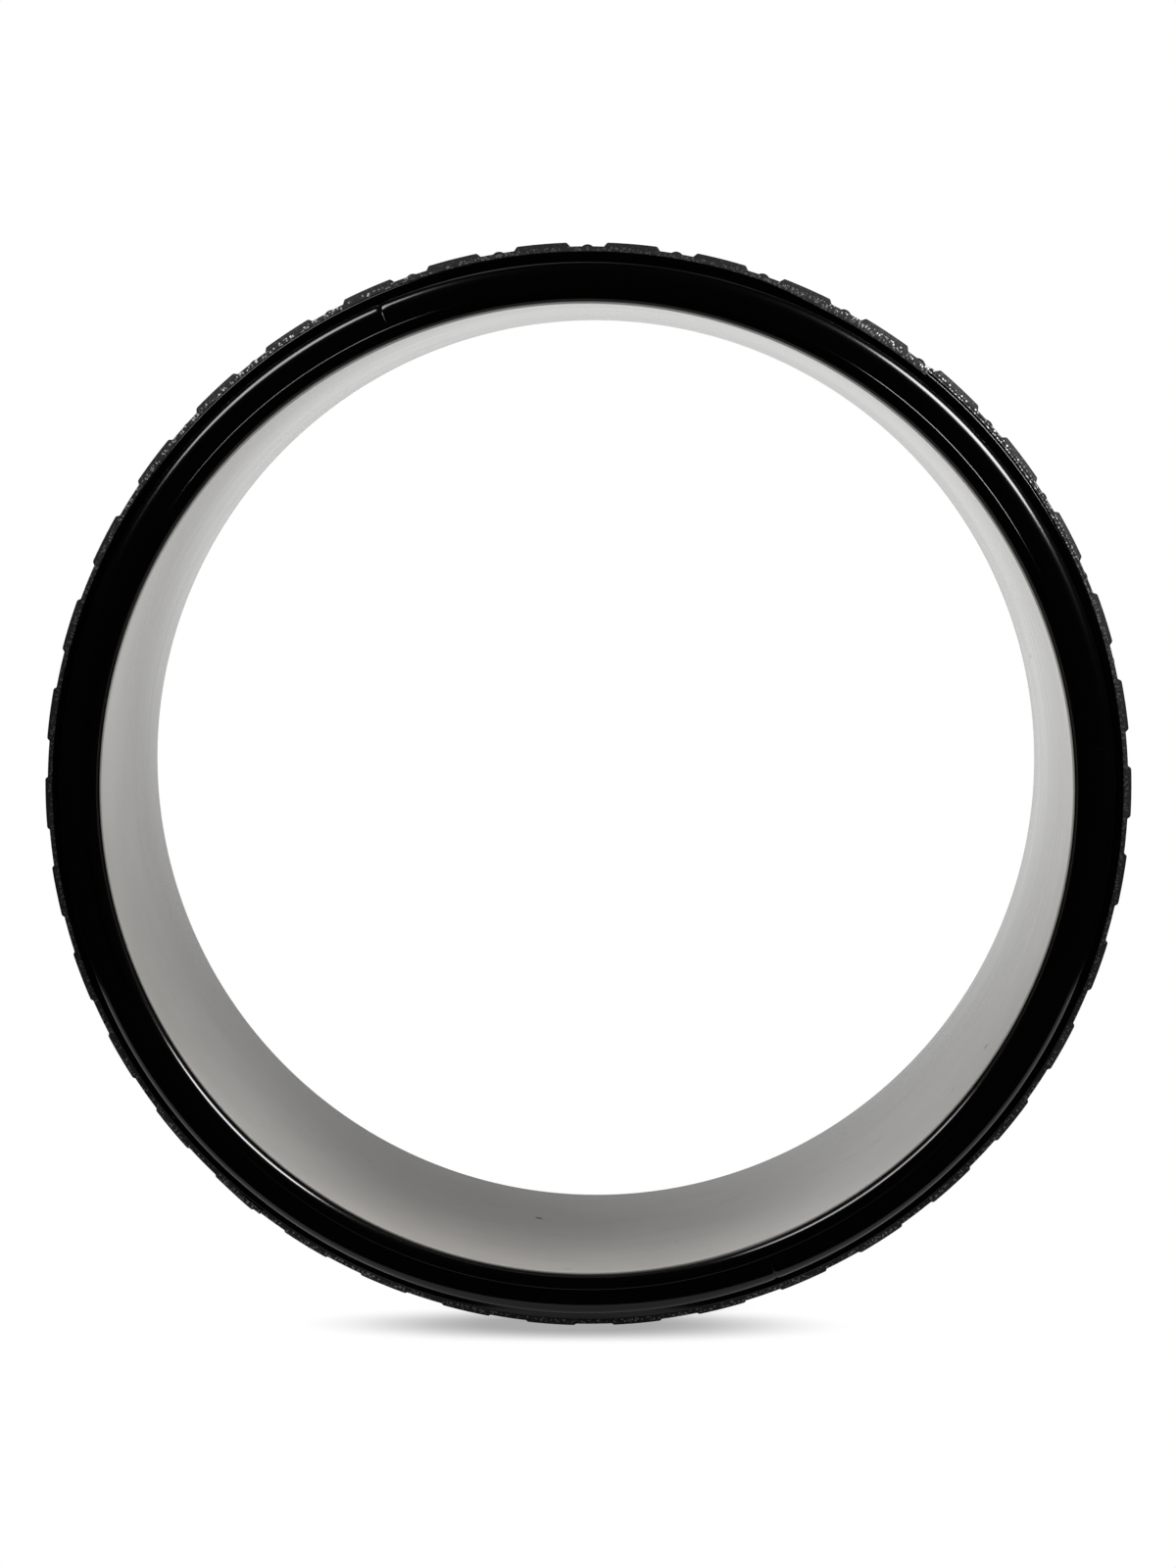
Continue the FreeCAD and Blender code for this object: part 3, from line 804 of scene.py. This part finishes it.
def tread_lines(sizes):
    """Places of the points along one block's stretch of rim, from its nub, and across the tread."""
    pitch = block_pitch(sizes)
    edges = ramp_lines(sizes.block_length / 2, sizes.block_slope, sizes.softness)
    block = pitch / 2
    along = nub_lines(sizes.nub_width)
    along += [block - edge for edge in edges] + [block + edge for edge in edges]
    along += [block + sizes.block_length * part for part in (-0.3, -0.1, 0.1, 0.3)]
    along += [-sizes.seam_to_nub, pitch - sizes.seam_to_nub]
    sides = ramp_lines(sizes.block_width / 2, sizes.block_slope, sizes.softness)
    across = []
    for row in range(sizes.rows):
        middle = (row - (sizes.rows - 1) / 2) * row_pitch(sizes)
        across += [middle + place for place in nub_lines(sizes.nub_width)]
        across += [middle + side for side in sides] + [middle - side for side in sides]
        across += [middle - sizes.block_width * 0.32, middle + sizes.block_width * 0.32]
    turns = np.linspace(0, math.pi / 2 - sizes.lean, 5)
    rounding = brow(sizes)[0] + sizes.edge_round * np.sin(turns)
    for side in SIDES.values():
        across += list(side * rounding)
        across.append(side * (rounding[0] - 0.6 * MM))
    return np.array(sorted(along)), np.array(sorted(across))


def tread_relief(sizes, along, across):
    """Height above the skin: blocks with sloping sides, round nubs between them, and rounded long edges."""
    pitch = block_pitch(sizes)
    height, slope = sizes.block_height, sizes.block_slope
    limit = (sizes.rows - 1) / 2
    shift = limit % 1
    row = np.clip(np.round(across / row_pitch(sizes) - shift) + shift, -limit, limit)
    off_row = np.abs(across - row * row_pitch(sizes))
    from_end = sizes.block_length / 2 + slope - np.abs(along - pitch / 2)
    from_side = sizes.block_width / 2 + slope - off_row
    rise = soft_least(from_end, from_side, sizes.softness) * height / slope
    block = soft_least(soft_most(rise, 0 * rise, sizes.softness), height + 0 * rise, sizes.softness)
    globe = (sizes.nub_width ** 2 / 4 + sizes.nub_height ** 2) / (2 * sizes.nub_height)
    out = np.minimum(np.hypot(along, off_row), globe)
    nub = np.sqrt(globe ** 2 - out ** 2) - (globe - sizes.nub_height)
    relief = soft_most(block, nub, sizes.softness)
    to_edge = np.clip(np.abs(across) - brow(sizes)[0], 0, sizes.edge_round)
    return relief - (sizes.edge_round - np.sqrt(np.clip(sizes.edge_round ** 2 - to_edge ** 2, 0, None)))


def tread_cell(sizes):
    """One block's stretch of tread laid flat: x is the angle from the seam, y lies across, z is the radius.

    The laps and the top carry a lap of 1 and slip out of line. The front lap's lower edge carries a hang
    of 1 and the middle of its wall a groove of 1. The blocks' tops are raised by 1.
    """
    along, across = tread_lines(sizes)
    skin = skin_radius(sizes)
    edge, body, lap = sizes.half_width, sizes.half_body, sizes.lap_radius
    sliver = 0.02 * MM
    _, brow_y, brow_z = brow(sizes)
    side = [(body, sizes.inner_radius, 0, 0, 0), (body, lap, 0, 0, 0), (edge, lap, 1, 0, 0),
            (edge, lap + sliver, 1, 1, 0), (edge, lap + 2 * sliver, 1, 1, 0)]
    for part, groove in ((0.42, 0), (0.56, 1), (0.7, 0)):
        side.append((edge + part * (brow_y - edge), lap + part * (brow_z - lap), 1, 0, groove))
    side_y, side_z, side_lap, side_hang, side_groove = np.array(side).T
    top = skin + tread_relief(sizes, *np.meshgrid(along, across, indexing="ij"))
    columns = len(along)
    wall = np.broadcast_to(side_z, (columns, len(side)))
    loop_z = np.concatenate((wall, top, wall[:, ::-1]), axis=1)
    loop_y = np.broadcast_to(np.concatenate((-side_y, across, side_y[::-1])), loop_z.shape)
    turn = (along + sizes.seam_to_nub) / sizes.block_radius
    loop_x = np.broadcast_to(turn[:, None], loop_z.shape)
    points = np.stack((loop_x, loop_y, loop_z), axis=-1).reshape(-1, 3)
    mesh = bpy.data.meshes.new("tread_cell")
    mesh.from_pydata(points.tolist(), [], loop_faces(*loop_z.shape))
    laps = np.concatenate((side_lap, np.ones(len(across)), side_lap[::-1]))
    hangs = np.concatenate((side_hang, np.zeros(len(across) + len(side))))
    grooves = np.concatenate((side_groove, np.zeros(len(across) + len(side))))
    for name, values in (("lap", laps), ("hang", hangs), ("groove", grooves)):
        mesh.attributes.new(name, "FLOAT", "POINT").data.foreach_set("value", np.tile(values, columns))
    raised = np.clip((loop_z - skin) / sizes.block_height, 0, 1).astype(np.float32)
    mesh.attributes.new("raised", "FLOAT", "POINT").data.foreach_set("value", raised.ravel())
    return mesh


def point_value(tree, name):
    """A number that each point of the mesh carries."""
    node = add_node(tree, "GeometryNodeInputNamedAttribute", data_type="FLOAT")
    feed_named(tree, node, Name=name)
    return node.outputs[0]


@once
def tread_tree():
    """Repeats the flat stretch of tread along a line, then rolls the line round the wheel."""
    sizes = bpy.context.scene.wheel_tread
    tree = bpy.data.node_groups.new("Rolled tread", "GeometryNodeTree")
    numbers = ("Pitch", "Start", "Seam", "Start Slip", "End Slip", "Slip Reach", "Hang", "Groove", "Lift",
               "Lift Reach", "Wander", "Seed", "Drift", "No Drift", "Full Drift", "Lag")
    kinds = {"Geometry": "Geometry", "Blocks": "Int", "Material": "Material"}
    kinds.update(dict.fromkeys(numbers, "Float"))
    for name, kind in kinds.items():
        tree.interface.new_socket(name, in_out="INPUT", socket_type="NodeSocket" + kind)
    tree.interface.new_socket("Geometry", in_out="OUTPUT", socket_type="NodeSocketGeometry")
    given = add_node(tree, "NodeGroupInput").outputs
    line = add_node(tree, "GeometryNodeMeshLine", mode="OFFSET")
    feed_named(tree, line, Count=given["Blocks"], Offset=combine(tree, given["Pitch"]))
    repeat = add_node(tree, "GeometryNodeInstanceOnPoints")
    feed_named(tree, repeat, Points=line.outputs[0], Instance=given["Geometry"])
    real = add_node(tree, "GeometryNodeRealizeInstances")
    feed(tree, real.inputs[0], repeat.outputs[0])
    merge = add_node(tree, "GeometryNodeMergeByDistance")
    feed_named(tree, merge, Geometry=real.outputs[0], Distance=5e-6)

    along, across, radius = separate(tree, add_node(tree, "GeometryNodeInputPosition").outputs[0])
    end = times(tree, given["Pitch"], given["Blocks"])
    to_end = calculate(tree, "SUBTRACT", end, along)
    last = calculate(tree, "SUBTRACT", end, given["Seam"])
    kept = calculate(tree, "MINIMUM", calculate(tree, "MAXIMUM", along, given["Seam"]), last)
    drawn = ramp(tree, along, given["No Drift"], given["Full Drift"], 0.0, given["Drift"])
    turn = calculate(tree, "ADD", calculate(tree, "ADD", kept, given["Start"]), drawn)
    behind = ramp(tree, to_end, sizes.lag_start, sizes.lag_full, 0.0, given["Lag"])
    caught_up = ramp(tree, to_end, 0.0, sizes.lag_end)
    turn = calculate(tree, "SUBTRACT", turn, times(tree, behind, caught_up))
    wave = add_node(tree, "ShaderNodeTexNoise", noise_dimensions="1D")
    feed_named(tree, wave, W=calculate(tree, "ADD", along, given["Seed"]), Scale=1.6, Detail=1.0)
    sway = times(tree, calculate(tree, "SUBTRACT", wave.outputs[0], 0.5), given["Wander"])
    at_start = ramp(tree, along, given["Slip Reach"], 0.0)
    at_end = ramp(tree, to_end, given["Slip Reach"], 0.0)
    slip = times_plus(tree, at_start, given["Start Slip"], sway)
    slip = times_plus(tree, at_end, given["End Slip"], slip)
    moved = times_plus(tree, slip, point_value(tree, "lap"), across)
    split = times(tree, at_end, given["Groove"])
    moved = times_plus(tree, split, point_value(tree, "groove"), moved)
    hanging = times(tree, ramp(tree, at_start, 0.5, 0.8), given["Hang"])
    hung = times(tree, hanging, point_value(tree, "hang"))
    moved = times_plus(tree, hung, -math.tan(sizes.lean), moved)
    at_tip = ramp(tree, to_end, given["Lift Reach"], 0.0)
    lifted = times_plus(tree, at_tip, given["Lift"], radius)
    lowered = calculate(tree, "SUBTRACT", lifted, hung)
    x, z = (times(tree, lowered, calculate(tree, part, turn)) for part in ("COSINE", "SINE"))
    roll = add_node(tree, "GeometryNodeSetPosition")
    feed_named(tree, roll, Geometry=merge.outputs[0], Position=combine(tree, x, moved, z))
    paint = add_node(tree, "GeometryNodeSetMaterial")
    feed_named(tree, paint, Geometry=roll.outputs[0], Material=given["Material"])
    feed(tree, add_node(tree, "NodeGroupOutput").inputs[0], paint.outputs[0])
    return tree


def rolled_strip(name, **inputs):
    """A strip of tread as a plain mesh. An input that isn't given is zero."""
    tree = tread_tree()
    flat = add_object(name + "_flat", tread_cell(bpy.context.scene.wheel_tread))
    modifier = flat.modifiers.new("Rolled tread", "NODES")
    modifier.node_group = tree
    for socket in tree.interface.items_tree:
        key = socket.name.replace(" ", "_")
        if socket.in_out == "INPUT" and key in inputs:
            modifier[socket.identifier] = inputs[key]
    evaluated = flat.evaluated_get(bpy.context.evaluated_depsgraph_get())
    mesh = bpy.data.meshes.new_from_object(evaluated)
    mesh.name = name
    spent = flat.data
    flat.modifiers.remove(modifier)
    bpy.data.objects.remove(flat)
    bpy.data.meshes.remove(spent)
    close_shell(mesh, math.radians(50))
    return mesh


# Operators

class BuildDrum(bpy.types.Operator):
    """Turn the inner drum"""

    bl_idname = "yoga_wheel.build_drum"
    bl_label = "Inner Drum"

    def execute(self, context):
        sizes = context.scene.wheel_drum
        mesh = turned_mesh("drum_wall", drum_outline(sizes), full_turn())
        dress(mesh, drum_plastic(), "drum_plastic", "inner_drum")
        return {"FINISHED"}


class BuildSideRings(bpy.types.Operator):
    """Turn the two side rings"""

    bl_idname = "yoga_wheel.build_side_rings"
    bl_label = "Side Rings"

    def execute(self, context):
        sizes = context.scene.wheel_ring
        for end, side in SIDES.items():
            mesh = turned_mesh(f"{end}_ring_body", ring_outline(sizes, side), full_turn())
            dress(mesh, ring_plastic(), "ring_plastic", f"{end}_side_ring")
        return {"FINISHED"}


class BuildTrims(bpy.types.Operator):
    """Run the four trim halves from joint to joint"""

    bl_idname = "yoga_wheel.build_trims"
    bl_label = "Trims"

    def execute(self, context):
        sizes = context.scene.wheel_ring
        halves = {
            "left": (sizes.upper_joint, sizes.lower_joint),
            "right": (sizes.lower_joint, sizes.upper_joint + math.tau),
        }
        for end, side in SIDES.items():
            for half, (start, finish) in halves.items():
                angles, insets = trim_stations(sizes, start, finish)
                mesh = turned_mesh(f"{end}_{half}_bead", trim_outline(sizes, side), angles, insets)
                dress(mesh, trim_plastic(), "trim_plastic", f"{end}_trim_{half}")
        return {"FINISHED"}


class BuildTread(bpy.types.Operator):
    """Roll the two strips of tread"""

    bl_idname = "yoga_wheel.build_tread"
    bl_label = "Tread"

    def execute(self, context):
        sizes = context.scene.wheel_tread
        shared = {
            "Blocks": sizes.blocks,
            "Pitch": math.pi / sizes.blocks,
            "Seam": sizes.seam_gap / 2 / skin_radius(sizes),
            "Slip_Reach": sizes.slip_reach,
            "Lift": sizes.lift,
            "Wander": sizes.wander,
            "Drift": sizes.drift,
            "Material": tread_rubber(),
        }
        strips = {
            "upper": {
                "Start": sizes.seam,
                "Start_Slip": -sizes.overhang,
                "Hang": sizes.hang,
                "Lift_Reach": sizes.upper_lift_reach,
                "No_Drift": sizes.stretch_start,
                "Full_Drift": sizes.stretch_end,
                "Seed": 3.0,
            },
            "lower": {
                "Start": sizes.seam + math.pi,
                "End_Slip": sizes.setback,
                "Groove": sizes.groove,
                "Lift_Reach": sizes.lower_lift_reach,
                "No_Drift": sizes.squeeze_end,
                "Lag": sizes.lag,
                "Seed": 11.0,
            },
        }
        for half, own in strips.items():
            mesh = rolled_strip(f"tread_{half}_strip", **shared, **own)
            strip = dress(mesh, tread_rubber(), "tread_rubber", f"tread_{half}")
        return {"FINISHED"}


class FinishInnerParts(bpy.types.Operator):
    """Give the hidden parts their materials"""

    bl_idname = "yoga_wheel.finish_inner_parts"
    bl_label = "Inner Parts"

    def execute(self, context):
        for name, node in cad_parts.items():
            if node.hide_render:
                continue
            cover(node.data, bond_film() if "film" in name else core_plastic())
        return {"FINISHED"}


def white_floor(settings):
    """White table with the wheel's contact shadow. Gloss shows it darker, and matt surfaces as it is lit."""
    material = bpy.data.materials.new("white_table")
    material.use_nodes = True
    tree = material.node_tree
    tree.nodes.remove(tree.nodes["Principled BSDF"])
    ray = add_node(tree, "ShaderNodeLightPath").outputs
    seen = calculate(tree, "MAXIMUM", ray["Is Camera Ray"], ray["Is Glossy Ray"])
    seen = calculate(tree, "MAXIMUM", seen, ray["Is Transmission Ray"])
    matt = add_node(tree, "ShaderNodeBsdfDiffuse")
    feed_named(tree, matt, Color=(0.9, 0.9, 0.9, 1))
    nearby = add_node(tree, "ShaderNodeAmbientOcclusion", samples=16)
    feed_named(tree, nearby, Distance=settings.shadow_reach)
    white = add_node(tree, "ShaderNodeEmission")
    place = add_node(tree, "ShaderNodeTexCoord").outputs["Object"]
    aside, along = (calculate(tree, "ABSOLUTE", part) for part in separate(tree, place)[:2])
    beneath = times(tree, ramp(tree, aside, settings.contact_side, 0.0),
                    ramp(tree, along, settings.contact_end, settings.contact_core))
    oval = add_node(tree, "ShaderNodeMapping", vector_type="TEXTURE")
    feed_named(tree, oval, Vector=place, Location=(-settings.shadow_left, -settings.shadow_front, CAD_LOW.z),
               Scale=(settings.shadow_length, settings.shadow_breadth, 1))
    away = measure(tree, "LENGTH", oval.outputs[0])
    fading = calculate(tree, "MAXIMUM", ramp(tree, away, 1.0, 0.25), beneath)
    depth = times(tree, ramp(tree, nearby.outputs["AO"], 1.0, 0.6), fading)
    shaded = times_plus(tree, depth, settings.shadow_dark - 1, 1.0)
    mirrored = calculate(tree, "MAXIMUM", ray["Is Camera Ray"], settings.table_gloss)
    feed(tree, white.inputs["Strength"], times(tree, shaded, mirrored))
    blend = add_node(tree, "ShaderNodeMixShader")
    surface = feed_all(tree, blend, seen, matt.outputs[0], white.outputs[0])
    feed(tree, tree.nodes["Material Output"].inputs["Surface"], surface)
    return material


def direction(azimuth, elevation):
    """The way from the wheel to something in front of it, to the right by azimuth and up by elevation."""
    level = math.cos(elevation)
    return Vector((math.sin(azimuth) * level, -math.cos(azimuth) * level, math.sin(elevation)))


def studio_world(settings):
    """White to the eye. Gloss shows a backdrop behind the wheel, and matt surfaces a fill from the front."""
    world = bpy.data.worlds.new("studio")
    bpy.context.scene.world = world
    world.use_nodes = True
    tree = world.node_tree
    way = add_node(tree, "ShaderNodeTexCoord").outputs["Generated"]
    right, back, up = separate(tree, way)
    aside = calculate(tree, "ABSOLUTE", right)
    heart = -direction(settings.heart_azimuth, settings.heart_elevation)
    # What each part of the backdrop follows, where it starts, where it is full, and its brightness
    parts = (
        (up, 0.05, -0.14, settings.sheet_low),
        (up, 0.32, 0.05, settings.sheet_high),
        (right, 0.2, -0.2, settings.sheet_left),
        (aside, 0.09, 0.16, settings.sheet_sides),
        (measure(tree, "DOT_PRODUCT", way, heart), 0.9936, 0.9997, settings.sheet_heart),
    )
    sheet = 0.0
    for place, start, full, brightness in parts:
        sheet = calculate(tree, "ADD", sheet, ramp(tree, place, start, full, 0.0, brightness))
    gloss = times_plus(tree, sheet, ramp(tree, aside, 0.27, 0.2), settings.room)
    gloss = times(tree, gloss, ramp(tree, back, 0.5, 0.8))
    fill = ramp(tree, back, 0.5, -0.5, 0.0, settings.fill)
    ray = add_node(tree, "ShaderNodeLightPath").outputs
    level = times(tree, gloss, ray["Is Glossy Ray"])
    level = times_plus(tree, fill, ray["Is Diffuse Ray"], level)
    feed_named(tree, tree.nodes["Background"], Color=(1, 1, 1, 1),
               Strength=calculate(tree, "MAXIMUM", level, ray["Is Camera Ray"]))


def softbox(name, settings, turn, depth, breadth, radiance):
    """An oval softbox, tilted off the wheel's axis at the given turn round it, its depth along the tilt."""
    lamp = bpy.data.lights.new(name, "AREA")
    lamp.shape = "ELLIPSE"
    lamp.size, lamp.size_y = depth, breadth
    lamp.energy = radiance * math.pi * depth * breadth * math.pi / 4
    holder = add_object(name, lamp)
    outwards = Vector((math.cos(turn), 0, math.sin(turn)))
    forwards = Vector((0, -1, 0))
    away = outwards * math.sin(settings.lamp_tilt) + forwards * math.cos(settings.lamp_tilt)
    along_tilt = outwards * math.cos(settings.lamp_tilt) - forwards * math.sin(settings.lamp_tilt)
    holder.location = away * settings.lamp_distance
    holder.rotation_euler = Matrix((along_tilt, away.cross(along_tilt), away)).transposed().to_euler()


class BuildStage(bpy.types.Operator):
    """Set up the table, the softboxes, the backdrop and the camera"""

    bl_idname = "yoga_wheel.build_stage"
    bl_label = "Stage"

    def execute(self, context):
        scene = context.scene
        settings = scene.wheel_stage
        side, near, far = settings.table_side, -settings.table_front, settings.table_rear
        corners = [(x, y, CAD_LOW.z) for x, y in ((-side, near), (side, near), (side, far), (-side, far))]
        mesh = bpy.data.meshes.new("table")
        mesh.from_pydata(corners, [], [(0, 1, 2, 3)])
        mesh.materials.append(white_floor(settings))
        table = add_object("table", mesh)
        studio_world(settings)
        for side in ("right", "left"):
            turn, depth, breadth, radiance = (
                getattr(settings, f"{side}_{part}") for part in ("turn", "depth", "breadth", "radiance")
            )
            softbox(f"softbox_{side}", settings, turn, depth, breadth, radiance)
        lens = bpy.data.cameras.new("camera")
        lens.lens = settings.focal_pixels / IMAGE_HEIGHT * lens.sensor_width
        camera = add_object("camera", lens)
        outlook = direction(settings.azimuth, settings.elevation)
        facing = (-outlook).to_track_quat("-Z", "Y")
        aim = facing @ Vector((-settings.middle_right, -settings.middle_up, 0)) / settings.focal_pixels
        camera.location = (outlook + aim) * settings.distance
        camera.rotation_euler = facing.to_euler()
        scene.camera = camera
        scene.view_settings.view_transform = "Standard"
        return {"FINISHED"}


class WheelPanel(bpy.types.Panel):
    """Lists the steps and the sizes of the wheel"""

    bl_idname = "VIEW3D_PT_yoga_wheel"
    bl_label = "Yoga Wheel"
    bl_space_type = "VIEW_3D"
    bl_region_type = "UI"
    bl_category = "Yoga Wheel"

    def draw(self, context):
        for operator in OPERATORS:
            self.layout.operator(operator.bl_idname)
        for name in SETTINGS:
            group = getattr(context.scene, name)
            box = self.layout.box()
            for key in group.__annotations__:
                box.prop(group, key)


SETTINGS = {
    "wheel_drum": DrumSizes,
    "wheel_ring": RingSizes,
    "wheel_tread": TreadSizes,
    "wheel_finishes": Finishes,
    "wheel_stage": StageSettings,
}
OPERATORS = (BuildDrum, BuildSideRings, BuildTrims, BuildTread, FinishInnerParts, BuildStage)


def register():
    for kind in (*SETTINGS.values(), *OPERATORS, WheelPanel):
        bpy.utils.register_class(kind)
    for name, kind in SETTINGS.items():
        setattr(bpy.types.Scene, name, PointerProperty(type=kind))


def unregister():
    for name in SETTINGS:
        delattr(bpy.types.Scene, name)
    for kind in (WheelPanel, *reversed(OPERATORS), *SETTINGS.values()):
        bpy.utils.unregister_class(kind)


def main():
    register()
    bpy.ops.yoga_wheel.build_drum()
    bpy.ops.yoga_wheel.build_side_rings()
    bpy.ops.yoga_wheel.build_trims()
    bpy.ops.yoga_wheel.build_tread()
    bpy.ops.yoga_wheel.finish_inner_parts()
    bpy.ops.yoga_wheel.build_stage()


if __name__ == "__main__":
    main()
